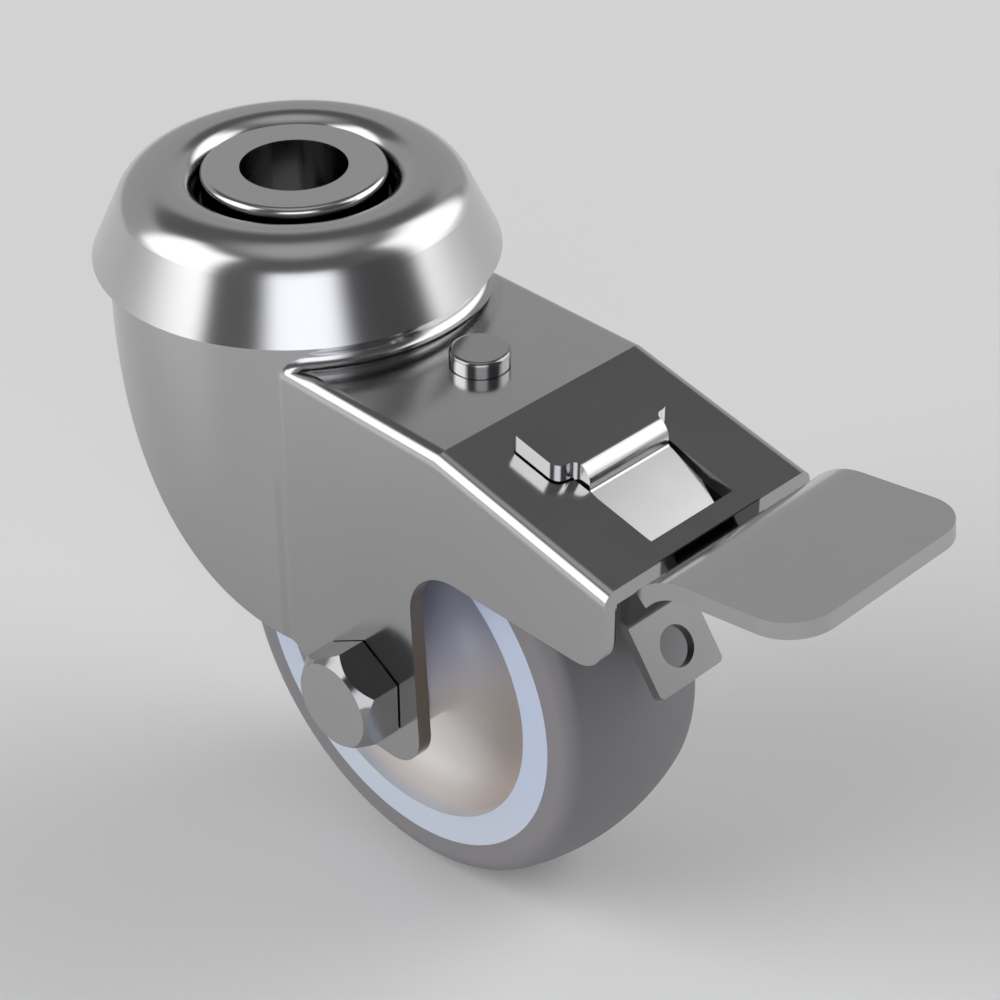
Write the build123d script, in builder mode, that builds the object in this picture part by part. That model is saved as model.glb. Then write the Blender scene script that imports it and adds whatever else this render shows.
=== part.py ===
from build123d import *
from math import atan2, cos, degrees, hypot, radians, sin, sqrt, tan
import os

os.makedirs("parts", exist_ok=True)

# Braked swivel caster with a bolt hole, in millimetres.
# The origin is the middle of the bolt hole in the mounting plane. +Z is up, +X runs back over the
# brake pedal, and +Y runs across the wheel, along its axle. Drops are measured down from the origin.

# Wheel and overall sizes
wheel_diameter = 50.0
wheel_width = 18.0
swivel_offset = 23.0
wheel_clearance = 5.33

# Sheet thicknesses
fork_sheet = 1.6
cap_sheet = 1.2
pedal_sheet = 1.6
leaf_sheet = 1.0

# Swivel head
bolt_hole_radius = 5.25
sleeve_flange_radius = 9.05
sleeve_edge = 0.6
sleeve_wall = 1.25
sleeve_foot_radius = 8.4
sleeve_foot_height = 2.2
cap_top_drop = 0.1
cap_well_gap = 0.65
cap_well_depth = 3.6
cap_lip_radius = 2.5
cap_floor_bend = 0.6
cap_overhang = 1.5
cap_rim_drop = 8.5
cap_cone_angle = 25.2

# Ball races
upper_ball_radius = 2.0
upper_ball_count = 18
lower_ball_radius = 1.6
lower_ball_count = 16
race_clearance = 0.05
lower_pitch_radius = 10.2
lower_race_radius = 12.8
lower_race_thickness = 2.0

# Fork
fork_width = 27.2
crown_radius = 18.5
crown_top_drop = 5.0
crown_shoulder_radius = 4.8
crown_hole_radius = 8.0
crown_skirt_drop = 15.0
roof_drop = 11.17
roof_crease_x = 33.4
roof_end_x = 53.9
roof_end_drop = 15.58
roof_edge_radius = 1.35
crown_roof_fillet = 1.2
crown_side_fillet = 0.8
leg_below_axle = 6.83
leg_rear_x = 30.71
leg_rear_lean = 2.9
leg_toe_radius = 4.0
leg_crotch_radius = 5.9
skirt_radius = 4.0
side_bottom_drop = 24.33
side_corner_radius = 3.2

# Brake pedal and its window in the roof
window_front_x = 42.2
window_length = 9.57
window_half_width = 5.45
tee_reach = 5.6
tee_length = 5.8
tee_overhang = 1.9
tee_lift = 0.2
tee_corner_radius = 0.8
tee_rear_corner_radius = 1.2
tee_neck_radius = 0.8
tee_fold_radius = 1.7
neck_clearance = 0.25
heel_half_width = 4.05
neck_taper_start_x = 48.4
neck_taper_end_x = 50.9
fold_gap = 0.4
neck_slope = -22.0
neck_start_drop = 13.72
neck_bend_radius = 0.3
heel_x = 53.95
heel_rise_angle = 56.0
heel_bend_radius = 0.9
tread_half_width = 11.75
tread_end_x = 72.85
tread_end_drop = 10.04
tread_slope = 8.6
tread_bend_radius = 7.6
tread_corner_radius = 4.4
shoulder_x = 56.82
shoulder_drop = 16.03
shoulder_cut_angle = 50.0

# Brake leaf
rivet_x = 25.3
rivet_head_radius = 2.9
rivet_head_height = 1.65
rivet_head_edge = 0.4
rivet_head_seat = 0.12
rivet_shank_radius = 1.4
rivet_hole_clearance = 0.35
rivet_foot_radius = 2.3
rivet_foot_height = 1.2
rivet_play = 0.9
leaf_gap = 0.1
leaf_front_x = 22.6
leaf_knee_x = 31.0
leaf_shoulder_drop = 17.65
leaf_rear_x = 48.45
leaf_half_width = 4.25
tab_top_drop = 27.2
tab_slope = -53.1
tab_length = 7.36
tab_corner_radius = 0.6
tab_hole_radius = 2.0
tab_hole_from_end = 3.55
leaf_knee_radius = 4.0
leaf_shoulder_radius = 1.8
leaf_tab_radius = 0.3

# Axle and wheel
axle_radius = 3.0
axle_hole_clearance = 0.1
axle_tube_radius = 4.0
axle_tube_wall = 0.9
bolt_head_across_flats = 9.55
bolt_head_height = 4.4
bolt_head_face_radius = 4.5
bolt_head_corner_height = 3.15
bolt_head_seat = 0.15
bolt_head_seat_radius = 4.4
washer_radius = 5.6
washer_thickness = 1.0
nut_across_flats = 10.0
nut_height = 5.0
nut_chamfer = 0.7
bolt_end_beyond_nut = 1.2
wheel_running_clearance = 0.05
bush_wall = 1.0
bush_length = 7.0
bush_flange_radius = 6.0
bush_flange_thickness = 0.8
wheel_side_gap = 0.35
hub_radius = 6.25
web_half_thickness = 3.2
bowl_fillet = 5.0
rim_thickness = 3.2
tyre_thickness = 4.8
tread_edge_drop = 1.73
tread_shoulder_radius = 2.04

# Sizes that follow from the ones above
wheel_radius = wheel_diameter / 2
half_wheel = wheel_width / 2
axle_z = -(roof_drop + fork_sheet + wheel_clearance + wheel_radius)
overall_height = wheel_radius - axle_z
leg_bottom_drop = leg_below_axle - axle_z
rim_outer_radius = wheel_radius - tyre_thickness
rim_inner_radius = rim_outer_radius - rim_thickness
half_fork = fork_width / 2
half_inside = half_fork - fork_sheet
window_rear_x = window_front_x + window_length
tee_front_x = window_front_x - tee_reach
tee_rear_x = tee_front_x + tee_length
tee_half_width = window_half_width + tee_overhang
neck_half_width = window_half_width - neck_clearance
fold_rear_x = window_front_x + fold_gap + pedal_sheet
roof_slope = atan2(roof_end_drop - roof_drop, roof_end_x - roof_crease_x)
axle_axis = Axis((swivel_offset, 0, axle_z), (0, 1, 0))
wheel_section = Plane(origin=(swivel_offset, 0, axle_z), x_dir=(0, 1, 0), z_dir=(1, 0, 0))
below_everything = -2 * overall_height


def roof_z(x, under=0.0):
    """Height of the roof's top face at x, or of a face parallel to it that lies under it."""
    if x <= roof_crease_x:
        return -roof_drop - under
    return -roof_drop - (x - roof_crease_x) * tan(roof_slope) - under / cos(roof_slope)


def meet(point, angle, other, other_angle):
    """Where two lines in the side view meet, each given by a point and an angle in degrees."""
    slope = tan(radians(angle))
    other_slope = tan(radians(other_angle))
    x = (other[1] - point[1] + slope * point[0] - other_slope * other[0]) / (slope - other_slope)
    return (x, point[1] + slope * (x - point[0]))


# Cap: a pressed cup with a rolled lip, a sunk floor for the sleeve and a conical skirt
cap_top = -cap_top_drop
cap_floor = cap_top - cap_well_depth
cap_well_radius = sleeve_flange_radius + cap_well_gap
cap_rim_radius = crown_radius + cap_overhang
cap_corner_radius = cap_rim_radius - (cap_rim_drop - cap_top_drop) * tan(radians(cap_cone_angle))
cap_flat = cap_corner_radius - cap_well_radius
cap_turn = radians(90 - cap_cone_angle)
shoulder_limit = 0.98 * (cap_flat - cap_lip_radius) / tan(cap_turn / 2)
cap_shoulder_radius = min(0.72 * cap_flat, shoulder_limit)
sleeve_radius = bolt_hole_radius + sleeve_wall
cone = radians(cap_cone_angle)
cap_underside = cap_top - cap_sheet
inner_corner_radius = cap_corner_radius - cap_sheet * tan(cap_turn / 2)
rim_outside = (cap_rim_radius, -cap_rim_drop)
rim_inside = (cap_rim_radius - cap_sheet * cos(cone), -cap_rim_drop - cap_sheet * sin(cone))

with BuildPart() as swivel_cap:
    with BuildSketch(Plane.XZ):
        with BuildLine():
            FilletPolyline(
                (sleeve_radius, cap_floor),
                (cap_well_radius, cap_floor),
                (cap_well_radius, cap_top),
                (cap_corner_radius, cap_top),
                rim_outside,
                radius=[cap_floor_bend, cap_lip_radius, cap_shoulder_radius],
            )
            Line(rim_outside, rim_inside)
            FilletPolyline(
                rim_inside,
                (inner_corner_radius, cap_underside),
                (cap_well_radius + cap_sheet, cap_underside),
                (cap_well_radius + cap_sheet, cap_floor - cap_sheet),
                (sleeve_radius, cap_floor - cap_sheet),
                radius=[
                    cap_shoulder_radius - cap_sheet,
                    cap_lip_radius - cap_sheet,
                    cap_floor_bend + cap_sheet,
                ],
            )
            Line((sleeve_radius, cap_floor - cap_sheet), (sleeve_radius, cap_floor))
        make_face()
    revolve(axis=Axis.Z)
swivel_cap.part.label = "swivel_cap"
export_step(swivel_cap.part, "parts/swivel_cap.step")

# Upper balls: they roll in the cap's rounded shoulder and in a groove of the fork's crown
upper_pitch_radius = cap_well_radius + cap_sheet + upper_ball_radius + 0.3
upper_ball_z = cap_underside - upper_ball_radius - 0.3

with BuildPart() as upper_balls:
    with Locations((0, 0, upper_ball_z)):
        with PolarLocations(upper_pitch_radius, upper_ball_count):
            Sphere(upper_ball_radius)
upper_balls.part.label = "upper_balls"
export_step(upper_balls.part, "parts/upper_balls.step")

# Lower balls and the race that carries them under the crown
crown_underside = -(crown_top_drop + fork_sheet)
lower_ball_z = crown_underside - lower_ball_radius - race_clearance
lower_race_top = lower_ball_z - lower_ball_radius / 2

with BuildPart() as lower_balls:
    with Locations((0, 0, lower_ball_z)):
        with PolarLocations(lower_pitch_radius, lower_ball_count):
            Sphere(lower_ball_radius)
lower_balls.part.label = "lower_balls"
export_step(lower_balls.part, "parts/lower_balls.step")

with BuildPart() as lower_race:
    with BuildSketch(Plane.XZ):
        with BuildLine():
            Polyline(
                (sleeve_radius, lower_race_top),
                (lower_race_radius, lower_race_top),
                (lower_race_radius, lower_race_top - lower_race_thickness),
                (sleeve_radius, lower_race_top - lower_race_thickness),
                close=True,
            )
        make_face()
        with Locations((lower_pitch_radius, lower_ball_z)):
            Circle(lower_ball_radius + race_clearance, mode=Mode.SUBTRACT)
    revolve(axis=Axis.Z)
lower_race.part.label = "lower_race"
export_step(lower_race.part, "parts/lower_race.step")

# Bolt sleeve: a hollow rivet that holds the cap, the crown and the lower race together
race_bottom = lower_race_top - lower_race_thickness
sleeve_end = race_bottom - sleeve_foot_height

with BuildPart() as bolt_sleeve:
    with BuildSketch(Plane.XZ):
        with BuildLine():
            Line((bolt_hole_radius, 0), (sleeve_flange_radius - sleeve_edge, 0))
            JernArc((sleeve_flange_radius - sleeve_edge, 0), (1, 0), sleeve_edge, -90)
            Polyline(
                (sleeve_flange_radius, -sleeve_edge),
                (sleeve_flange_radius, cap_floor),
                (sleeve_radius, cap_floor),
                (sleeve_radius, race_bottom),
                (sleeve_foot_radius, race_bottom),
                (sleeve_foot_radius, race_bottom - sleeve_foot_height / 2),
                (sleeve_radius, sleeve_end),
                (bolt_hole_radius, sleeve_end),
                (bolt_hole_radius, 0),
            )
        make_face()
    revolve(axis=Axis.Z)
bolt_sleeve.part.label = "bolt_sleeve"
export_step(bolt_sleeve.part, "parts/bolt_sleeve.step")

# Fork: one pressing, a round crown that runs into a channel with two legs
crown_inner = crown_radius - fork_sheet
inner_shoulder = crown_shoulder_radius - fork_sheet
groove_radius = upper_ball_radius + race_clearance
groove_back_radius = groove_radius + fork_sheet
underside_crease_x = roof_crease_x - fork_sheet * tan(roof_slope / 2)
corner_x = sqrt(crown_radius**2 - half_fork**2)
leg_crotch_x = leg_rear_x - (leg_bottom_drop - side_bottom_drop) * tan(radians(leg_rear_lean))
front_edge_top = (-10.5, -crown_skirt_drop)
front_edge_middle = (-0.1, -31.25)
front_edge_bottom = (22.4, -leg_bottom_drop)

with BuildPart() as fork:
    with BuildSketch(Plane.XZ):
        with BuildLine():
            Line((0, below_everything), (0, -crown_top_drop))
            flat = Line((0, -crown_top_drop), (crown_radius - crown_shoulder_radius, -crown_top_drop))
            bend = JernArc(flat @ 1, (1, 0), crown_shoulder_radius, -90)
            Line(bend @ 1, (crown_radius, below_everything))
            Line((crown_radius, below_everything), (0, below_everything))
        make_face()
    revolve(axis=Axis.Z)
    with BuildSketch(Plane.XZ):
        Polygon(
            (0, -roof_drop),
            (roof_crease_x, -roof_drop),
            (roof_end_x, -roof_end_drop),
            (roof_end_x, below_everything),
            (0, below_everything),
            align=None,
        )
    extrude(amount=half_fork, both=True)
    long_edges = fork.edges().filter_by(
        lambda e: abs(abs(e.center().Y) - half_fork) < 0.01
        and e.center().Z > -roof_end_drop
        and e.length > 5
    )
    fillet(long_edges, radius=roof_edge_radius)
    crown_edge = fork.edges().filter_by(GeomType.CIRCLE).filter_by(
        lambda e: abs(e.center().Z + roof_drop) < 0.01 and abs(e.radius - crown_radius) < 0.01
    )
    fillet(crown_edge, radius=crown_roof_fillet)
    with BuildSketch(Plane.XY.offset(below_everything)) as plan:
        Circle(crown_radius)
        with Locations((crown_radius / 2, 0)):
            Rectangle(crown_radius, fork_width)
        fillet(
            plan.vertices().filter_by(lambda v: abs(v.X - corner_x) < 0.1),
            radius=crown_side_fillet,
        )
    extrude(amount=-below_everything - roof_drop - roof_edge_radius)
    with BuildSketch(Plane.XZ):
        with BuildLine():
            Line((0, below_everything), (0, crown_underside))
            flat = Line((0, crown_underside), (crown_inner - inner_shoulder, crown_underside))
            bend = JernArc(flat @ 1, (1, 0), inner_shoulder, -90)
            Line(bend @ 1, (crown_inner, below_everything))
            Line((crown_inner, below_everything), (0, below_everything))
        make_face()
    revolve(axis=Axis.Z, mode=Mode.SUBTRACT)
    with BuildSketch(Plane.XZ):
        Polygon(
            (0, -roof_drop - fork_sheet),
            (underside_crease_x, -roof_drop - fork_sheet),
            (roof_end_x + 1, roof_z(roof_end_x + 1, fork_sheet)),
            (roof_end_x + 1, below_everything),
            (0, below_everything),
            align=None,
        )
    extrude(amount=half_inside, both=True, mode=Mode.SUBTRACT)
    with BuildSketch(Plane.XZ):
        with Locations((upper_pitch_radius, upper_ball_z)):
            Circle(groove_back_radius)
        with Locations((upper_pitch_radius, crown_underside + 0.4)):
            Rectangle(
                4 * groove_back_radius,
                2 * groove_back_radius,
                align=(Align.CENTER, Align.MAX),
                mode=Mode.INTERSECT,
            )
    revolve(axis=Axis.Z)
    with BuildSketch(Plane.XZ):
        with Locations((upper_pitch_radius, upper_ball_z)):
            Circle(groove_radius)
    revolve(axis=Axis.Z, mode=Mode.SUBTRACT)
    with BuildSketch(Plane.XZ) as side_view:
        with BuildLine():
            ThreePointArc(front_edge_top, front_edge_middle, front_edge_bottom)
            FilletPolyline(
                front_edge_bottom,
                (leg_rear_x, -leg_bottom_drop),
                (leg_crotch_x, -side_bottom_drop),
                (roof_end_x, -side_bottom_drop),
                (roof_end_x, 1),
                radius=[leg_toe_radius, leg_crotch_radius, side_corner_radius],
            )
            Polyline(
                (roof_end_x, 1),
                (-crown_radius - 1, 1),
                (-crown_radius - 1, -crown_skirt_drop),
                front_edge_top,
            )
        make_face()
        fillet(
            side_view.vertices().sort_by_distance((*front_edge_top, 0))[0],
            radius=skirt_radius,
        )
    extrude(amount=crown_radius + 1, both=True, mode=Mode.INTERSECT)
    with Locations((0, 0, -crown_top_drop)):
        Hole(crown_hole_radius, depth=2 * fork_sheet)
    with BuildSketch(Plane.XY.offset(-roof_drop + 1)):
        with Locations(((window_front_x + window_rear_x) / 2, 0)):
            Rectangle(window_rear_x - window_front_x, 2 * window_half_width)
        with Locations((rivet_x, 0)):
            Circle(rivet_shank_radius)
    extrude(amount=-(roof_end_drop - roof_drop) - 2 * fork_sheet - 1, mode=Mode.SUBTRACT)
    with BuildSketch(Plane(origin=(swivel_offset, 0, axle_z), z_dir=(0, 1, 0))):
        Circle(axle_radius + axle_hole_clearance)
    extrude(amount=half_fork + 1, both=True, mode=Mode.SUBTRACT)
fork.part.label = "fork"
export_step(fork.part, "parts/fork.step")

# Brake pedal: one bent strip. A tee lies on the roof, a neck dips through the window and under the
# roof's end, a heel turns up behind it, and a wide tread reaches back over the wheel.
tee_top = tee_lift + pedal_sheet
tee_start = (tee_front_x, roof_z(tee_front_x) + tee_top / cos(roof_slope))
fold_top = (fold_rear_x, tee_start[1] - (fold_rear_x - tee_front_x) * tan(roof_slope))
fold_foot = (fold_rear_x, -neck_start_drop)
tread_end = (tread_end_x, -tread_end_drop)
heel = (heel_x, fold_foot[1] + (heel_x - fold_rear_x) * tan(radians(neck_slope)))
bend_corner = meet(heel, heel_rise_angle, tread_end, tread_slope)
pedal_path = [tee_start, fold_top, fold_foot, heel, bend_corner, tread_end]
pedal_bends = [tee_fold_radius, neck_bend_radius, heel_bend_radius, tread_bend_radius]
shoulder_angle = radians(shoulder_cut_angle)
shoulder_back = (
    shoulder_x + overall_height * sin(shoulder_angle),
    -shoulder_drop - overall_height * cos(shoulder_angle),
)
shoulder_front = (
    shoulder_x - overall_height * sin(shoulder_angle),
    -shoulder_drop + overall_height * cos(shoulder_angle),
)

with BuildPart() as brake_pedal:
    with BuildSketch(Plane.XZ):
        with BuildLine():
            FilletPolyline(*pedal_path, radius=pedal_bends)
            offset(amount=pedal_sheet, side=Side.RIGHT)
        make_face()
    extrude(amount=tee_half_width, both=True)
    with BuildSketch(Plane.XY) as pedal_plan:
        Polygon(
            (tee_front_x, tee_half_width),
            (tee_rear_x, tee_half_width),
            (tee_rear_x, neck_half_width),
            (neck_taper_start_x, neck_half_width - 0.2),
            (neck_taper_end_x, heel_half_width),
            (tread_end_x + 1, heel_half_width),
            (tread_end_x + 1, -heel_half_width),
            (neck_taper_end_x, -heel_half_width),
            (neck_taper_start_x, -neck_half_width + 0.2),
            (tee_rear_x, -neck_half_width),
            (tee_rear_x, -tee_half_width),
            (tee_front_x, -tee_half_width),
            align=None,
        )
        tee_corners = pedal_plan.vertices().filter_by(lambda v: v.X < tee_rear_x + 0.1)
        fillet(tee_corners.filter_by(lambda v: v.X < tee_front_x + 0.1), radius=tee_corner_radius)
        tee_corners = pedal_plan.vertices().filter_by(lambda v: abs(v.X - tee_rear_x) < 0.1)
        fillet(
            tee_corners.filter_by(lambda v: abs(v.Y) > neck_half_width + 0.1),
            radius=tee_rear_corner_radius,
        )
        neck_corners = pedal_plan.vertices().filter_by(
            lambda v: abs(v.X - tee_rear_x) < 0.1 and abs(abs(v.Y) - neck_half_width) < 0.1
        )
        fillet(neck_corners, radius=tee_neck_radius)
    extrude(amount=-overall_height / 2, mode=Mode.INTERSECT)
    with BuildSketch(Plane.XZ):
        with BuildLine():
            FilletPolyline(*pedal_path, radius=pedal_bends)
            offset(amount=pedal_sheet, side=Side.RIGHT)
        make_face()
        Polygon(
            shoulder_front,
            shoulder_back,
            (shoulder_back[0] + overall_height, shoulder_back[1]),
            (shoulder_back[0] + overall_height, shoulder_front[1]),
            align=None,
            mode=Mode.INTERSECT,
        )
    extrude(amount=tread_half_width, both=True)
    tread_corners = brake_pedal.edges().filter_by(
        lambda e: e.center().X > tread_end_x - 1
        and abs(abs(e.center().Y) - tread_half_width) < 0.01
        and e.length < 2 * pedal_sheet
    )
    fillet(tread_corners, radius=tread_corner_radius)
brake_pedal.part.label = "brake_pedal"
export_step(brake_pedal.part, "parts/brake_pedal.step")

# Brake leaf: a bent spring strip held under the roof by the rivet. Its lower tab is the brake shoe.
leaf_top = roof_z(rivet_x, fork_sheet) - leaf_gap
tab_end = (
    leaf_rear_x + tab_length * cos(radians(tab_slope)),
    -tab_top_drop + tab_length * sin(radians(tab_slope)),
)
leaf_path = [
    (leaf_front_x, leaf_top),
    (leaf_knee_x, leaf_top),
    (leaf_rear_x, -leaf_shoulder_drop),
    (leaf_rear_x, -tab_top_drop),
    tab_end,
]
tab_hole = (
    tab_end[0] - tab_hole_from_end * cos(radians(tab_slope)),
    0,
    tab_end[1] - tab_hole_from_end * sin(radians(tab_slope)),
)
tab_face = Plane(
    origin=tab_hole,
    x_dir=(0, 1, 0),
    z_dir=(-sin(radians(tab_slope)), 0, cos(radians(tab_slope))),
)

with BuildPart() as brake_leaf:
    with BuildSketch(Plane.XZ):
        with BuildLine():
            FilletPolyline(*leaf_path, radius=[leaf_knee_radius, leaf_shoulder_radius, leaf_tab_radius])
            offset(amount=leaf_sheet, side=Side.RIGHT)
        make_face()
    extrude(amount=leaf_half_width, both=True)
    end_corners = brake_leaf.edges().filter_by(
        lambda e: abs(abs(e.center().Y) - leaf_half_width) < 0.01
        and e.length < 1.5 * leaf_sheet
        and (e.center().X < leaf_front_x + 0.1 or e.center().X > tab_end[0] - leaf_sheet)
    )
    fillet(end_corners, radius=tab_corner_radius)
    with BuildSketch(tab_face):
        Circle(tab_hole_radius)
    extrude(amount=2 * leaf_sheet, both=True, mode=Mode.SUBTRACT)
    with BuildSketch(Plane.XY.offset(leaf_top)):
        with Locations((rivet_x, 0)):
            Circle(rivet_shank_radius + rivet_hole_clearance)
    extrude(amount=2 * leaf_sheet, both=True, mode=Mode.SUBTRACT)
brake_leaf.part.label = "brake_leaf"
export_step(brake_leaf.part, "parts/brake_leaf.step")

# Leaf rivet: a flat round head on the roof, a shank through roof and leaf, and a smaller foot below
rivet_foot_top = leaf_top - leaf_sheet - rivet_play
rivet_head_top = -roof_drop + rivet_head_height

with BuildPart() as leaf_rivet:
    with BuildSketch(Plane.XZ.move(Location((rivet_x, 0, 0)))):
        Polygon(
            (0, rivet_head_top),
            (rivet_head_radius, rivet_head_top),
            (rivet_head_radius, -roof_drop + rivet_head_seat),
            (rivet_head_radius - rivet_head_seat, -roof_drop + rivet_head_seat),
            (rivet_head_radius - rivet_head_seat, -roof_drop),
            (rivet_shank_radius, -roof_drop),
            (rivet_shank_radius, rivet_foot_top),
            (rivet_foot_radius, rivet_foot_top),
            (rivet_foot_radius, rivet_foot_top - rivet_foot_height / 2),
            (rivet_shank_radius, rivet_foot_top - rivet_foot_height),
            (0, rivet_foot_top - rivet_foot_height),
            align=None,
        )
    revolve(axis=Axis((rivet_x, 0, 0), (0, 0, 1)))
    fillet(leaf_rivet.faces().sort_by(Axis.Z)[-1].edges(), radius=rivet_head_edge)
leaf_rivet.part.label = "leaf_rivet"
export_step(leaf_rivet.part, "parts/leaf_rivet.step")

# Axle bolt: a hexagon head against the near leg, with one corner pointing straight up
head_plane = Plane(origin=(swivel_offset, -half_fork, axle_z), x_dir=(0, 0, 1), z_dir=(0, -1, 0))
head_corner_radius = bolt_head_across_flats / 2 / cos(radians(30))
shank_end = half_fork + washer_thickness + nut_height + bolt_end_beyond_nut

with BuildPart() as axle_bolt:
    with BuildSketch(head_plane):
        RegularPolygon(radius=head_corner_radius, side_count=6)
    extrude(amount=bolt_head_height)
    with BuildSketch(wheel_section):
        Polygon(
            (-half_fork, 0),
            (-half_fork, bolt_head_seat_radius),
            (-half_fork - bolt_head_seat, bolt_head_seat_radius),
            (-half_fork - bolt_head_seat, head_corner_radius + 0.5),
            (-half_fork - bolt_head_corner_height + 0.5, head_corner_radius + 0.5),
            (-half_fork - bolt_head_corner_height, head_corner_radius),
            (-half_fork - bolt_head_height, bolt_head_face_radius),
            (-half_fork - bolt_head_height, 0),
            align=None,
        )
    revolve(axis=axle_axis, mode=Mode.INTERSECT)
    with BuildSketch(wheel_section):
        Polygon(
            (-half_fork - 0.5, 0),
            (-half_fork - 0.5, axle_radius),
            (shank_end - 0.6, axle_radius),
            (shank_end, axle_radius - 0.6),
            (shank_end, 0),
            align=None,
        )
    revolve(axis=axle_axis)
axle_bolt.part.label = "axle_bolt"
export_step(axle_bolt.part, "parts/axle_bolt.step")

# Washer and nut on the far leg
with BuildPart() as axle_washer:
    with BuildSketch(wheel_section):
        with Locations((half_fork, axle_radius + axle_hole_clearance)):
            Rectangle(
                washer_thickness,
                washer_radius - axle_radius - axle_hole_clearance,
                align=(Align.MIN, Align.MIN),
            )
    revolve(axis=axle_axis)
axle_washer.part.label = "axle_washer"
export_step(axle_washer.part, "parts/axle_washer.step")

nut_start = half_fork + washer_thickness
nut_corner_radius = nut_across_flats / 2 / cos(radians(30))

with BuildPart() as axle_nut:
    with BuildSketch(Plane(origin=(swivel_offset, nut_start, axle_z), x_dir=(0, 0, 1), z_dir=(0, 1, 0))):
        RegularPolygon(radius=nut_corner_radius, side_count=6)
        Circle(axle_radius + axle_hole_clearance / 2, mode=Mode.SUBTRACT)
    extrude(amount=nut_height)
    with BuildSketch(wheel_section):
        Polygon(
            (nut_start, 0),
            (nut_start, nut_across_flats / 2),
            (nut_start + nut_chamfer, nut_corner_radius + 0.2),
            (nut_start + nut_height - nut_chamfer, nut_corner_radius + 0.2),
            (nut_start + nut_height, nut_across_flats / 2),
            (nut_start + nut_height, 0),
            align=None,
        )
    revolve(axis=axle_axis, mode=Mode.INTERSECT)
axle_nut.part.label = "axle_nut"
export_step(axle_nut.part, "parts/axle_nut.step")

# Axle sleeve: a steel tube clamped between the legs, on which the wheel runs
with BuildPart() as axle_sleeve:
    with BuildSketch(wheel_section):
        with Locations((0, axle_tube_radius - axle_tube_wall)):
            Rectangle(2 * half_inside, axle_tube_wall, align=(Align.CENTER, Align.MIN))
    revolve(axis=axle_axis)
axle_sleeve.part.label = "axle_sleeve"
export_step(axle_sleeve.part, "parts/axle_sleeve.step")

# Wheel centre with a flanged bush pressed in from each side
bush_bore = axle_tube_radius + wheel_running_clearance
bush_radius = bush_bore + bush_wall
hub_end = half_inside - wheel_side_gap - bush_flange_thickness

with BuildPart() as wheel_centre:
    with BuildSketch(wheel_section) as centre_section:
        Polygon(
            (-hub_end, bush_radius),
            (hub_end, bush_radius),
            (hub_end, hub_radius),
            (web_half_thickness, hub_radius),
            (web_half_thickness, rim_inner_radius),
            (half_wheel, rim_inner_radius),
            (half_wheel, rim_outer_radius),
            (-half_wheel, rim_outer_radius),
            (-half_wheel, rim_inner_radius),
            (-web_half_thickness, rim_inner_radius),
            (-web_half_thickness, hub_radius),
            (-hub_end, hub_radius),
            align=None,
        )
        bowl_corners = centre_section.vertices().filter_by(
            lambda v: abs(abs(v.X) - web_half_thickness) < 0.01
        )
        fillet(bowl_corners, radius=min(bowl_fillet, 0.48 * (rim_inner_radius - hub_radius)))
    revolve(axis=axle_axis)
wheel_centre.part.label = "wheel_centre"
export_step(wheel_centre.part, "parts/wheel_centre.step")

with BuildPart() as bush_near:
    with BuildSketch(wheel_section):
        Polygon(
            (-hub_end - bush_flange_thickness, bush_bore),
            (-hub_end - bush_flange_thickness, bush_flange_radius),
            (-hub_end, bush_flange_radius),
            (-hub_end, bush_radius),
            (-hub_end + bush_length, bush_radius),
            (-hub_end + bush_length, bush_bore),
            align=None,
        )
    revolve(axis=axle_axis)
bush_near.part.label = "bush_near"
export_step(bush_near.part, "parts/bush_near.step")

with BuildPart() as bush_far:
    add(bush_near.part)
    mirror(about=Plane.XZ, mode=Mode.REPLACE)
bush_far.part.label = "bush_far"
export_step(bush_far.part, "parts/bush_far.step")

# Tyre: a soft ring on the wheel centre with a crowned tread and rounded shoulders
with BuildPart() as tyre:
    with BuildSketch(wheel_section) as tyre_section:
        with BuildLine():
            ThreePointArc(
                (-half_wheel, wheel_radius - tread_edge_drop),
                (0, wheel_radius),
                (half_wheel, wheel_radius - tread_edge_drop),
            )
            Polyline(
                (half_wheel, wheel_radius - tread_edge_drop),
                (half_wheel, rim_outer_radius),
                (-half_wheel, rim_outer_radius),
                (-half_wheel, wheel_radius - tread_edge_drop),
            )
        make_face()
        shoulders = tyre_section.vertices().filter_by(
            lambda v: v.Y > wheel_radius - tread_edge_drop - 0.1
        )
        fillet(shoulders, radius=tread_shoulder_radius)
    revolve(axis=axle_axis)
tyre.part.label = "tyre"
export_step(tyre.part, "parts/tyre.step")
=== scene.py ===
# %% [markdown]
# # A braked swivel caster
# This lesson dresses a small furniture caster. The CAD solids come in as a fixed frame, already
# at their true size and place. What is left is what a photographer and a finisher would do: set
# the camera, make each finish, cut the thread on the bolt's end, and light the table.

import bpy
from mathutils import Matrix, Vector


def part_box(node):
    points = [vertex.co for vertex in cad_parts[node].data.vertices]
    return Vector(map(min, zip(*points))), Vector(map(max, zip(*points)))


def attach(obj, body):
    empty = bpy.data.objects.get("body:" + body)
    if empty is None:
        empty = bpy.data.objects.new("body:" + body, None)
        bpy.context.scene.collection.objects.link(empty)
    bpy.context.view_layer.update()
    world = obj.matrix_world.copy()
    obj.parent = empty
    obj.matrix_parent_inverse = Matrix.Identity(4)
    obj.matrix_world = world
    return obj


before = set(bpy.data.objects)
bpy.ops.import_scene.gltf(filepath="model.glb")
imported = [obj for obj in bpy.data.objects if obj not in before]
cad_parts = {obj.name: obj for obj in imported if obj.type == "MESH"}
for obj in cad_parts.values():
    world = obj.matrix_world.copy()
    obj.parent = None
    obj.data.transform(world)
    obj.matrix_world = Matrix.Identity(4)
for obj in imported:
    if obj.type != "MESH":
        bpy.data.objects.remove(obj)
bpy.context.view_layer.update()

# %% Fixed places
import math
import bpy
from mathutils import Vector

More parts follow.
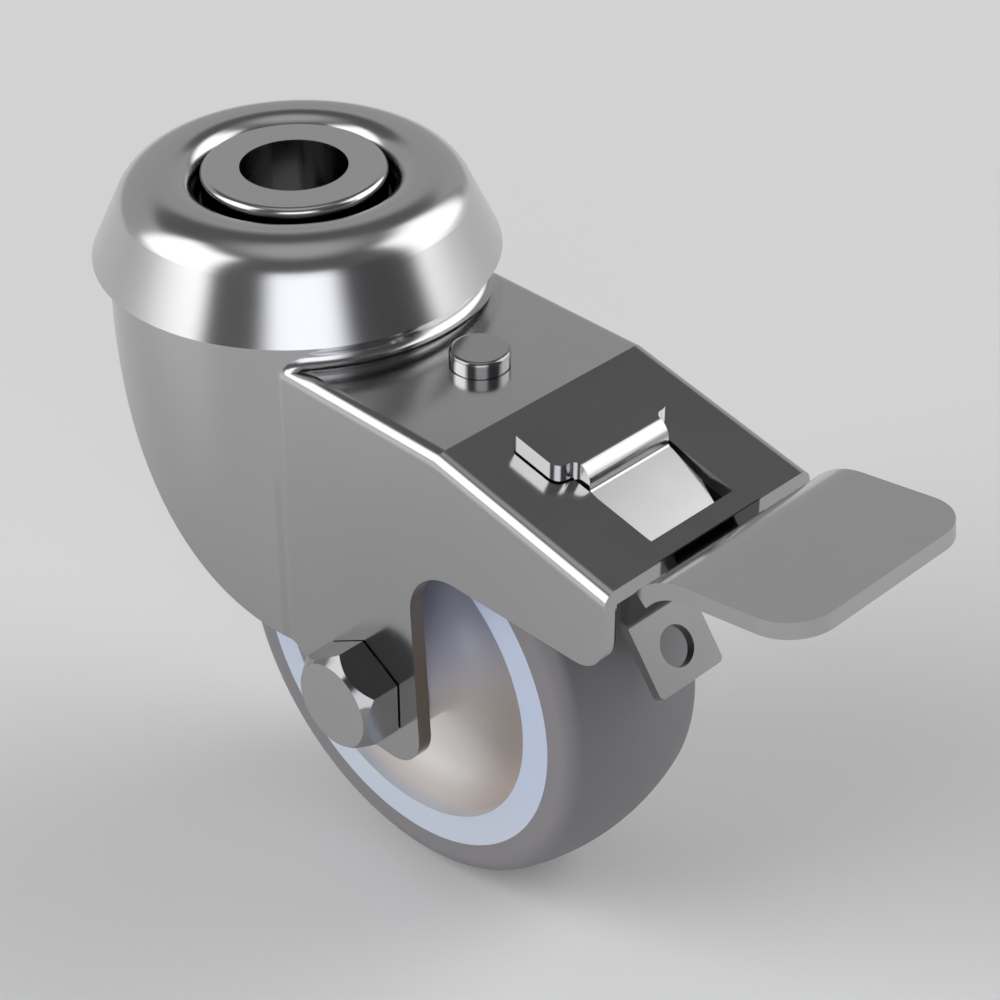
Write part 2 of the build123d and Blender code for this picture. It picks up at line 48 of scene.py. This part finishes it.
FLOOR_Z = -0.0681
AXLE = Vector((0.023, 0.0, -0.0431))
WALL_TONE = (0.645, 0.645, 0.643, 1.0)
print("the wheel's axle is", round((AXLE.z - FLOOR_Z) * 1000, 1), "mm above the floor")

# %% [markdown]
# ## The camera
# The photograph was taken from behind and above the pedal's near corner. The camera's place was
# worked out from the round rims and straight edges in the picture, so the solids line up with it.
# A long lens is right here: the two sides of the fork look almost parallel.

# %% Camera
camera = bpy.data.objects.new("camera", bpy.data.cameras.new("camera"))
bpy.context.scene.collection.objects.link(camera)
bpy.context.scene.camera = camera
camera.data.sensor_width = 36.0
camera.data.lens = 89.69
camera.data.clip_start = 0.01
turn, rise = math.radians(45.0), math.radians(35.2644)
towards_camera = Vector((math.sin(turn) * math.cos(rise), -math.cos(turn) * math.cos(rise),
                         math.sin(rise)))
camera.location = (0.164912, -0.136985, 0.111597)
camera.rotation_mode = "QUATERNION"
camera.rotation_quaternion = (-towards_camera).to_track_quat("-Z", "Y")
print("camera is", round(camera.location.length * 1000), "mm from the head")

# %% [markdown]
# ## Helpers for finishes
# Every finish here starts from one Principled shader. The first helpers make the material and
# give it noise read from Object coordinates. Those stay put on the piece, because each piece's
# object sits at the origin. The others find a zone on the piece, such as the inside of a bore,
# and lay another tone there.

# %% Making a finish
def finish_material(name, colour, metallic, roughness):
    material = bpy.data.materials.new(name)
    material.use_nodes = True
    shader = base_of(material)
    shader.inputs["Base Color"].default_value = (*colour, 1.0)
    shader.inputs["Metallic"].default_value = metallic
    shader.inputs["Roughness"].default_value = roughness
    return material


def base_of(material):
    return material.node_tree.nodes["Principled BSDF"]


def add_noise(tree, scale, detail):
    place = tree.nodes.new("ShaderNodeTexCoord")
    noise = tree.nodes.new("ShaderNodeTexNoise")
    noise.inputs["Scale"].default_value = scale
    noise.inputs["Detail"].default_value = detail
    tree.links.new(place.outputs["Object"], noise.inputs["Vector"])
    return noise.outputs["Fac"]


def vary_roughness(material, scale, detail, low, high):
    """Lets the roughness wander between low and high. Noise seldom leaves 0.3 to 0.7."""
    tree = material.node_tree
    ranged = tree.nodes.new("ShaderNodeMapRange")
    ranged.inputs["From Min"].default_value = 0.3
    ranged.inputs["From Max"].default_value = 0.7
    ranged.inputs["To Min"].default_value = low
    ranged.inputs["To Max"].default_value = high
    tree.links.new(add_noise(tree, scale, detail), ranged.inputs["Value"])
    tree.links.new(ranged.outputs["Result"], base_of(material).inputs["Roughness"])


def add_grain(material, scale, detail, strength, depth):
    """Adds a very shallow grain. The depth is in metres."""
    tree = material.node_tree
    bump = tree.nodes.new("ShaderNodeBump")
    bump.inputs["Strength"].default_value = strength
    bump.inputs["Distance"].default_value = depth
    tree.links.new(add_noise(tree, scale, detail), bump.inputs["Height"])
    tree.links.new(bump.outputs["Normal"], base_of(material).inputs["Normal"])


print("finish helpers ready")

# %% Finding a zone
def fill_inputs(tree, node, values):
    """Each value is another node's output or a plain number."""
    for slot, value in zip(node.inputs, values):
        if isinstance(value, bpy.types.NodeSocket):
            tree.links.new(value, slot)
        else:
            slot.default_value = value


def calculate(tree, operation, *values):
    node = tree.nodes.new("ShaderNodeMath")
    node.operation = operation
    fill_inputs(tree, node, values)
    return node.outputs["Value"]


def calculate_vector(tree, operation, *values):
    node = tree.nodes.new("ShaderNodeVectorMath")
    node.operation = operation
    fill_inputs(tree, node, values)
    return node.outputs["Value" if operation in ("LENGTH", "DOT_PRODUCT") else "Vector"]


def split_vector(tree, vector):
    parts = tree.nodes.new("ShaderNodeSeparateXYZ")
    tree.links.new(vector, parts.inputs["Vector"])
    return parts.outputs


def place_on(tree):
    """Gives the place on the piece as x, y, z and as the distance from the upright axis."""
    place = tree.nodes.new("ShaderNodeTexCoord").outputs["Object"]
    parts = split_vector(tree, place)
    level = calculate_vector(tree, "MULTIPLY", place, (1.0, 1.0, 0.0))
    return {"x": parts["X"], "y": parts["Y"], "z": parts["Z"],
            "from_axis": calculate_vector(tree, "LENGTH", level)}


def facing(tree, axis):
    """Gives how squarely a face looks along X, Y or Z, from -1 to 1."""
    return split_vector(tree, tree.nodes.new("ShaderNodeNewGeometry").outputs["True Normal"])[axis]


def smooth_step(tree, value, start, end):
    """Runs softly from 0 to 1 as the value goes from start to end."""
    step = tree.nodes.new("ShaderNodeMapRange")
    step.interpolation_type = "SMOOTHSTEP"
    step.inputs["From Min"].default_value = start
    step.inputs["From Max"].default_value = end
    tree.links.new(value, step.inputs["Value"])
    return step.outputs["Result"]


def within(tree, value, start, end):
    """The same soft step for a place on the piece, with start and end in millimetres."""
    return smooth_step(tree, value, start / 1000, end / 1000)


def overlap(tree, *masks):
    """Keeps only what lies inside every mask."""
    kept = masks[0]
    for mask in masks[1:]:
        kept = calculate(tree, "MULTIPLY", kept, mask)
    return kept


def tint(material, mask, colour):
    """Lays another colour over the base where the mask is 1."""
    tree = material.node_tree
    socket = base_of(material).inputs["Base Color"]
    mix = tree.nodes.new("ShaderNodeMix")
    mix.data_type = "RGBA"
    mix.inputs["A"].default_value = socket.default_value
    mix.inputs["B"].default_value = (*colour, 1.0)
    tree.links.new(mask, mix.inputs["Factor"])
    if socket.is_linked:
        tree.links.new(socket.links[0].from_socket, mix.inputs["A"])
    tree.links.new(mix.outputs["Result"], socket)


print("zone helpers ready")

# %% [markdown]
# ## Satin zinc on the pressed steel
# The fork, pedal and leaf are cold-rolled sheet with a thin zinc plating. It is a metal with a
# soft reflection, slightly uneven because rolled sheet is never perfectly flat. Two noises do
# this: a broad one moves the roughness a little, and a fine one is a very shallow grain.
#
# Zones then paint shade into the colour where little light reaches: the fork's inside, the gap
# behind the roof's end with the pedal's heel in it, and the leaf above its tab. The legs' sheared
# edges are duller too, as a press leaves them.

# %% Satin zinc
def satin_zinc(name, roughness, tone):
    material = finish_material(name, (tone, tone, tone * 1.005), 1.0, roughness)
    vary_roughness(material, 140.0, 2.0, roughness - 0.02, roughness + 0.02)
    add_grain(material, 2600.0, 3.0, 0.02, 0.00002)
    return material


SHEET_ROUGHNESS, SHEET_TONE = 0.17, 0.6
inner_zinc = satin_zinc("inner_zinc", 0.3, 0.5)
print("roughness of the sheet:", SHEET_ROUGHNESS)

# %% The leaf's spring steel
spring_steel = satin_zinc("spring_steel", 0.2, 0.195)
tree = spring_steel.node_tree
# Painted shade: the leaf is tinted nearly black above its tab, where the roof shades it.
above_tab = within(tree, place_on(tree)["z"], -27.3, -26.7)
tint(spring_steel, above_tab, (0.08, 0.08, 0.08))
print("the leaf's tab starts 27 mm below the mounting face")

# %% The fork's zones
fork_zinc = satin_zinc("fork_zinc", SHEET_ROUGHNESS, SHEET_TONE)
tree = fork_zinc.node_tree
place = place_on(tree)
from_middle = calculate(tree, "ABSOLUTE", place["y"])
# Painted shade: the fork's inside, between the legs and under the roof, is tinted nearly black.
inside = overlap(tree, within(tree, from_middle, 12.25, 12.15), within(tree, place["x"], 17.5, 18.5),
                 within(tree, place["z"], -17.4, -17.9))
tint(fork_zinc, inside, (0.05, 0.05, 0.052))
sheared = overlap(tree, smooth_step(tree, facing(tree, "X"), 0.6, 0.8),
                  within(tree, place["x"], 34, 33), within(tree, place["z"], -22, -26))
tint(fork_zinc, sheared, (0.24, 0.235, 0.225))
# Painted shade and a painted dark reflection: the roof's end face is tinted dark across its middle.
gap_at_roof_end = overlap(tree, within(tree, from_middle, 6.7, 6.4),
                          within(tree, place["x"], 53.7, 53.85))
tint(fork_zinc, gap_at_roof_end, (0.12, 0.12, 0.12))
print("fork has", len(tree.nodes), "nodes")

# %% The pedal's zones
pedal_zinc = satin_zinc("pedal_zinc", SHEET_ROUGHNESS, SHEET_TONE)
tree = pedal_zinc.node_tree
place = place_on(tree)
# Painted shade: the pedal's heel, in the gap behind the roof's end, is tinted dark.
heel = overlap(tree, within(tree, place["x"], 53.2, 53.6), within(tree, place["x"], 56.6, 55.8))
tint(pedal_zinc, heel, (0.15, 0.15, 0.15))
print("pedal has", len(tree.nodes), "nodes")

# %% [markdown]
# ## Bright plating on the head and the bolt
# The cap is drawn from thin sheet and plated bright, so it mirrors the studio in broad bands.
# The sleeve, the bolt and the rivet have the same plating over a machined face. Painted shade
# darkens the cap's well, the sleeve's bore and the edge under its flange; on the bolt, nut and
# rivet the faces that look along -Y or up are painted lighter. The cap is a piece turned about the
# upright axis, so its shine is made to run round it without a seam.

# %% Bright plating
def bright_plating(name, roughness, tone):
    material = finish_material(name, (tone, tone, tone), 1.0, roughness)
    vary_roughness(material, 90.0, 2.0, roughness - 0.015, roughness + 0.015)
    return material


def turned_shine(material):
    """Turns each face's direction so that it looks straight away from the upright axis."""
    tree = material.node_tree
    place = tree.nodes.new("ShaderNodeTexCoord")
    level = calculate_vector(tree, "MULTIPLY", place.outputs["Object"], (1.0, 1.0, 0.0))
    outward = calculate_vector(tree, "NORMALIZE", level)
    share = calculate_vector(tree, "DOT_PRODUCT", place.outputs["Normal"], outward)
    sideways = calculate_vector(tree, "MULTIPLY", outward, share)
    upwards = calculate_vector(tree, "MULTIPLY", place.outputs["Normal"], (0.0, 0.0, 1.0))
    to_room = tree.nodes.new("ShaderNodeVectorTransform")
    to_room.vector_type = "NORMAL"
    to_room.convert_from = "OBJECT"
    to_room.convert_to = "WORLD"
    tree.links.new(calculate_vector(tree, "ADD", sideways, upwards), to_room.inputs["Vector"])
    tree.links.new(to_room.outputs["Vector"], base_of(material).inputs["Normal"])


cap_plating = bright_plating("cap_plating", 0.19, 0.6)
turned_shine(cap_plating)
tree = cap_plating.node_tree
place = place_on(tree)
# Painted shade: the cap's well, inside its lip, is tinted nearly black.
well = overlap(tree, within(tree, place["from_axis"], 10.3, 9.9), within(tree, place["z"], -1.0, -2.2))
tint(cap_plating, well, (0.012, 0.012, 0.013))

sleeve_plating = bright_plating("sleeve_plating", 0.15, 0.6)
tree = sleeve_plating.node_tree
place = place_on(tree)
# Painted shade: the sleeve's bore is tinted darker.
bore = overlap(tree, within(tree, place["from_axis"], 5.32, 5.28), within(tree, place["z"], -0.02, -0.25))
tint(sleeve_plating, bore, (0.3, 0.3, 0.305))
# Painted shade: the outer edge under the sleeve's flange is tinted nearly black.
under_flange = overlap(tree, within(tree, place["from_axis"], 8.8, 8.95),
                       within(tree, place["z"], -0.5, -1.0))
tint(sleeve_plating, under_flange, (0.02, 0.02, 0.021))

bolt_plating = bright_plating("bolt_plating", 0.13, 0.35)
tree = bolt_plating.node_tree
# Painted light: faces that look along -Y or straight up are painted lighter than the dark base.
tint(bolt_plating, smooth_step(tree, facing(tree, "Y"), -0.9, -0.99), (0.68, 0.68, 0.68))
tint(bolt_plating, smooth_step(tree, facing(tree, "Z"), 0.9, 0.99), (0.52, 0.52, 0.52))
ball_polish = bright_plating("ball_polish", 0.08, 0.7)
print("bright finishes:", [m.name for m in (cap_plating, sleeve_plating, bolt_plating, ball_polish)])

# %% [markdown]
# ## The wheel
# The tyre is soft grey rubber with a faint skin from its mould, with painted shade on its tread.
# The centre is pale plastic. Its cool and warm zones are painted light and shade: paler low
# down, greyer in the dish, warm light low in the dish and a warm shade towards the dish's rear.

# %% Rubber
tyre_rubber = finish_material("grey_rubber", (0.2, 0.192, 0.2), 0.0, 0.42)
add_grain(tyre_rubber, 1800.0, 4.0, 0.08, 0.00003)
vary_roughness(tyre_rubber, 60.0, 3.0, 0.38, 0.46)
tree = tyre_rubber.node_tree
from_middle = calculate(tree, "ABSOLUTE", place_on(tree)["y"])
# Painted shade: the tread between the sidewalls is tinted a little darker.
tint(tyre_rubber, within(tree, from_middle, 8.6, 7.2), (0.175, 0.17, 0.18))
print("rubber:", tyre_rubber.name)

# %% Plastics
wheel_plastic = finish_material("pale_plastic", (0.47, 0.53, 0.67), 0.0, 0.32)
tree = wheel_plastic.node_tree
place = place_on(tree)
on_piece = tree.nodes.new("ShaderNodeTexCoord").outputs["Object"]
from_hub = calculate_vector(tree, "SUBTRACT", on_piece, tuple(AXLE))
in_wheel_plane = calculate_vector(tree, "MULTIPLY", from_hub, (1.0, 0.0, 1.0))
reach = calculate_vector(tree, "LENGTH", in_wheel_plane)
dish = within(tree, reach, 17.05, 16.9)
downwards = calculate_vector(tree, "DOT_PRODUCT", from_hub, (0.25, 0.0, -0.97))
warm = overlap(tree, dish, within(tree, downwards, -4, 6))
warm_and_deep = overlap(tree, warm, within(tree, place["x"], 26, 38))
# Painted light and shade: the wheel centre's cool and warm tints below.
tint(wheel_plastic, within(tree, place["z"], -44, -60), (0.52, 0.57, 0.66))
tint(wheel_plastic, dish, (0.52, 0.53, 0.62))
tint(wheel_plastic, warm, (0.62, 0.59, 0.565))
tint(wheel_plastic, warm_and_deep, (0.46, 0.37, 0.33))

bush_plastic = finish_material("bearing_plastic", (0.62, 0.6, 0.56), 0.0, 0.4)
print("plastics:", wheel_plastic.name, bush_plastic.name)

# %% [markdown]
# ## Give each solid its finish
# A CAD solid keeps its mesh. Only the material in its slots changes.

# %% Finishes on the solids
wears = {
    "swivel_cap": cap_plating, "bolt_sleeve": sleeve_plating, "lower_race": inner_zinc,
    "upper_balls": ball_polish, "lower_balls": ball_polish, "fork": fork_zinc,
    "leaf_rivet": bolt_plating, "brake_leaf": spring_steel, "brake_pedal": pedal_zinc,
    "axle_bolt": bolt_plating, "axle_washer": inner_zinc, "axle_nut": bolt_plating,
    "axle_sleeve": inner_zinc, "wheel_centre": wheel_plastic, "bush_near": bush_plastic,
    "bush_far": bush_plastic, "tyre": tyre_rubber,
}
for node, material in wears.items():
    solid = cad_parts[node]
    solid.data.materials.clear()
    solid.data.materials.append(material)
print("finished solids:", len(wears))

# %% [markdown]
# ## The thread on the bolt's end
# The axle bolt's end stands out of its nut on the far side. A thread is one ridge that follows a
# helix, so it is a good job for Geometry Nodes: a spiral curve, a small profile swept along it,
# and inputs for the sizes that a mechanic would name.

# %% Thread tree
def thread_tree():
    tree = bpy.data.node_groups.new("bolt_thread", "GeometryNodeTree")
    sizes = (("Thread radius", 0.003), ("Pitch", 0.001), ("Turns", 6.0), ("Ridge", 0.0003),
             ("Start", 0.0))
    for label, value in sizes:
        socket = tree.interface.new_socket(label, in_out="INPUT", socket_type="NodeSocketFloat")
        socket.default_value = value
    tree.interface.new_socket("Geometry", in_out="OUTPUT", socket_type="NodeSocketGeometry")
    entry, out = tree.nodes.new("NodeGroupInput"), tree.nodes.new("NodeGroupOutput")
    height = tree.nodes.new("ShaderNodeMath")
    height.operation = "MULTIPLY"
    tree.links.new(entry.outputs["Pitch"], height.inputs[0])
    tree.links.new(entry.outputs["Turns"], height.inputs[1])
    helix = tree.nodes.new("GeometryNodeCurveSpiral")
    helix.inputs["Resolution"].default_value = 40
    tree.links.new(entry.outputs["Turns"], helix.inputs["Rotations"])
    tree.links.new(entry.outputs["Thread radius"], helix.inputs["Start Radius"])
    tree.links.new(entry.outputs["Thread radius"], helix.inputs["End Radius"])
    tree.links.new(height.outputs[0], helix.inputs["Height"])
    ridge = tree.nodes.new("GeometryNodeCurvePrimitiveCircle")
    ridge.inputs["Resolution"].default_value = 4
    tree.links.new(entry.outputs["Ridge"], ridge.inputs["Radius"])
    sweep = tree.nodes.new("GeometryNodeCurveToMesh")
    sweep.inputs["Fill Caps"].default_value = True
    tree.links.new(helix.outputs["Curve"], sweep.inputs["Curve"])
    tree.links.new(ridge.outputs["Curve"], sweep.inputs["Profile Curve"])
    lift = tree.nodes.new("ShaderNodeCombineXYZ")
    lift.inputs["X"].default_value = AXLE.x
    lift.inputs["Z"].default_value = AXLE.z
    tree.links.new(entry.outputs["Start"], lift.inputs["Y"])
    lay = tree.nodes.new("GeometryNodeTransform")
    lay.inputs["Rotation"].default_value = (-math.pi / 2, 0.0, 0.0)
    tree.links.new(sweep.outputs["Mesh"], lay.inputs["Geometry"])
    tree.links.new(lift.outputs["Vector"], lay.inputs["Translation"])
    real = tree.nodes.new("GeometryNodeRealizeInstances")
    coat = tree.nodes.new("GeometryNodeSetMaterial")
    coat.inputs["Material"].default_value = bolt_plating
    tree.links.new(lay.outputs["Geometry"], real.inputs["Geometry"])
    tree.links.new(real.outputs["Geometry"], coat.inputs["Geometry"])
    tree.links.new(coat.outputs["Geometry"], out.inputs["Geometry"])
    return tree


def bake_tree(name, tree, values, body):
    """Runs a node tree on a new object, keeps the result as a plain mesh and lets it ride."""
    maker = bpy.data.objects.new(name + "_maker", bpy.data.meshes.new(name + "_seed"))
    bpy.context.scene.collection.objects.link(maker)
    modifier = maker.modifiers.new("tree", "NODES")
    modifier.node_group = tree
    for item in tree.interface.items_tree:
        if item.item_type == "SOCKET" and item.in_out == "INPUT" and item.name in values:
            modifier[item.identifier] = values[item.name]
    shown = maker.evaluated_get(bpy.context.evaluated_depsgraph_get())
    mesh = bpy.data.meshes.new_from_object(shown)
    bpy.data.objects.remove(maker)
    piece = bpy.data.objects.new(name, mesh)
    bpy.context.scene.collection.objects.link(piece)
    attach(piece, body)
    print(name, "has", len(mesh.polygons), "faces")
    return piece


bolt_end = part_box("axle_bolt")[1].y
nut_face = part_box("axle_nut")[1].y
thread_values = {"Thread radius": 0.0029, "Pitch": 0.001, "Turns": 1.6, "Ridge": 0.00022,
                 "Start": bolt_end - 0.0022}
bolt_thread = bake_tree("bolt_thread", thread_tree(), thread_values, "fork")
print("thread stands out of the nut by", round((bolt_end - nut_face) * 1000, 2), "mm")

# %% [markdown]
# ## The table
# A pale table keeps the caster's soft shadow. Its far part fades into the studio's pale wall, so
# there is no horizon line. The metal sees the table a little darker than the camera does, which
# gives the sides of the fork their mid grey.

# %% Floor
def floor_disc(radius, steps):
    corners = [2 * math.pi * k / steps for k in range(steps)]
    points = [(radius * math.cos(a), radius * math.sin(a), FLOOR_Z) for a in corners]
    mesh = bpy.data.meshes.new("table")
    mesh.from_pydata(points, [], [tuple(range(steps))])
    disc = bpy.data.objects.new("table", mesh)
    bpy.context.scene.collection.objects.link(disc)
    return disc


table = floor_disc(1.6, 96)
table_top = finish_material("table_top", (0.74, 0.74, 0.738), 0.0, 0.6)
base_of(table_top).inputs["Specular IOR Level"].default_value = 0.3
tree = table_top.node_tree
place = place_on(tree)
in_metal = tree.nodes.new("ShaderNodeLightPath").outputs["Is Glossy Ray"]
# Painted reflection: the metal sees the table darker, with a lighter patch towards the front.
tint(table_top, in_metal, (0.55, 0.55, 0.55))
tint(table_top, overlap(tree, in_metal, within(tree, place["y"], -60, -110)), (0.66, 0.66, 0.66))
tint(table_top, overlap(tree, in_metal, within(tree, place["x"], -25, 10)), (0.56, 0.56, 0.56))
table.data.materials.append(table_top)
print("table at", FLOOR_Z * 1000, "mm")

# %% The table meets the wall
FADE_START, FADE_END = -0.01, 0.16
on_table = tree.nodes.new("ShaderNodeTexCoord").outputs["Object"]
away = calculate_vector(tree, "DOT_PRODUCT", on_table, (-0.7071, 0.7071, 0.0))
wall_glow = tree.nodes.new("ShaderNodeEmission")
wall_glow.inputs["Color"].default_value = WALL_TONE
meet_wall = tree.nodes.new("ShaderNodeMixShader")
tree.links.new(smooth_step(tree, away, FADE_START, FADE_END), meet_wall.inputs["Fac"])
tree.links.new(base_of(table_top).outputs["BSDF"], meet_wall.inputs[1])
tree.links.new(wall_glow.outputs["Emission"], meet_wall.inputs[2])
tree.links.new(meet_wall.outputs["Shader"], tree.nodes["Material Output"].inputs["Surface"])
print("the table fades over", round((FADE_END - FADE_START) * 1000), "mm")

# %% [markdown]
# ## The studio
# Bright metal looks like what is around it. The room is a pale wall with a few soft panels and
# dark gaps between them, as in a product studio. The camera sees only the plain wall; the metal
# sees the panels. Two soft lamps from the sides help the panels to shade the plastic, the rubber
# and the table.

# %% Soft boxes
def turn_step(tree, value, start, end):
    """A soft step for a direction in the room, with start and end in degrees."""
    return smooth_step(tree, value, math.radians(start), math.radians(end))


def soft_box(tree, look, room_light, turn, width, low, high, soft, light):
    """Hangs one panel in the room: its middle and width round the compass, then its lower and
    upper edge above the horizon, all in degrees, and how soft its edges are."""
    compass, lift = look
    off_middle = calculate(tree, "SUBTRACT", compass, math.radians(turn))
    across = calculate(tree, "ABSOLUTE", calculate(tree, "WRAP", off_middle, math.pi, -math.pi))
    half = width / 2
    mask = turn_step(tree, across, half + soft / 2, half - soft / 2)
    if low > -90:
        mask = overlap(tree, mask, turn_step(tree, lift, low - soft / 2, low + soft / 2))
    if high < 90:
        mask = overlap(tree, mask, turn_step(tree, lift, high + soft / 2, high - soft / 2))
    mix = tree.nodes.new("ShaderNodeMix")
    mix.data_type = "RGBA"
    mix.inputs["A"].default_value = (*DARK_ROOM, 1.0)
    mix.inputs["B"].default_value = (*light, 1.0)
    tree.links.new(mask, mix.inputs["Factor"])
    if room_light is not None:
        tree.links.new(room_light, mix.inputs["A"])
    return mix.outputs["Result"]


DARK_ROOM = (0.12, 0.12, 0.122)
# Each row: middle, width, lower edge, upper edge, softness and light. A later panel hangs in
# front of an earlier one. An edge past 90 degrees has no end there.
PANELS = {
    "ceiling": (0, 400, 70, 120, 22, (0.5, 0.5, 0.5)),
    "back wall": (152, 108, -100, 37, 6, (0.42, 0.42, 0.42)),
    "low wall": (60, 80, -100, 6, 10, (0.72, 0.72, 0.72)),
    "low left": (-126, 60, -100, 6, 10, (0.62, 0.62, 0.62)),
    "front gap": (6, 44, -10, 36, 12, (0.075, 0.075, 0.078)),
    "far box": (62.5, 56, 6, 56, 13, (1.8, 1.8, 1.8)),
    "left box": (-122.5, 55, 7, 57, 12, (1.84, 1.84, 1.84)),
    "front box": (-38.5, 42, -30, 34, 15, (1.63, 1.65, 1.76)),
}
print("panels:", ", ".join(PANELS))

# %% Room
room = bpy.data.worlds.new("room")
bpy.context.scene.world = room
room.use_nodes = True
tree = room.node_tree
tree.nodes.clear()
way = split_vector(tree, tree.nodes.new("ShaderNodeTexCoord").outputs["Generated"])
look = (calculate(tree, "ARCTAN2", way["Y"], way["X"]), calculate(tree, "ARCSINE", way["Z"]))
room_light = None
for panel in PANELS.values():
    room_light = soft_box(tree, look, room_light, *panel)
print("room has", len(tree.nodes), "nodes")

# %% What each kind of ray sees
def background(tree, colour, strength):
    node = tree.nodes.new("ShaderNodeBackground")
    fill_inputs(tree, node, (colour, strength))
    return node.outputs["Background"]


def choose(tree, test, if_not, if_so):
    node = tree.nodes.new("ShaderNodeMixShader")
    fill_inputs(tree, node, (test, if_not, if_so))
    return node.outputs["Shader"]


ray = tree.nodes.new("ShaderNodeLightPath").outputs
lights_the_room = background(tree, room_light, 1.05)
metal_sees = background(tree, room_light, 1.0)
camera_sees = background(tree, WALL_TONE, 1.0)
seen = choose(tree, ray["Is Glossy Ray"], lights_the_room, metal_sees)
seen = choose(tree, ray["Is Camera Ray"], seen, camera_sees)
world_out = tree.nodes.new("ShaderNodeOutputWorld")
tree.links.new(seen, world_out.inputs["Surface"])
print("room and camera views joined")

# %% Side lamps
def soft_lamp(name, turn, rise, distance, size, watts):
    """A round soft lamp that looks at the wheel. The metal sees the room's panels instead."""
    lamp = bpy.data.objects.new(name, bpy.data.lights.new(name, "AREA"))
    bpy.context.scene.collection.objects.link(lamp)
    turn, rise = math.radians(turn), math.radians(rise)
    level = math.cos(rise)
    way = Vector((math.cos(turn) * level, math.sin(turn) * level, math.sin(rise)))
    lamp.data.shape = "DISK"
    lamp.data.size = size
    lamp.data.energy = watts
    lamp.location = AXLE + way * distance
    lamp.rotation_mode = "QUATERNION"
    lamp.rotation_quaternion = (-way).to_track_quat("-Z", "Y")
    lamp.visible_glossy = False
    return lamp


soft_lamp("left_lamp", -124, 30, 0.6, 0.45, 1.25)
soft_lamp("far_lamp", 60, 32, 0.6, 0.5, 0.85)

# %% [markdown]
# ## Finish
# The colours are shown as they are, with no film look.

# %% Show the colours as they are
bpy.context.scene.view_settings.view_transform = "Standard"
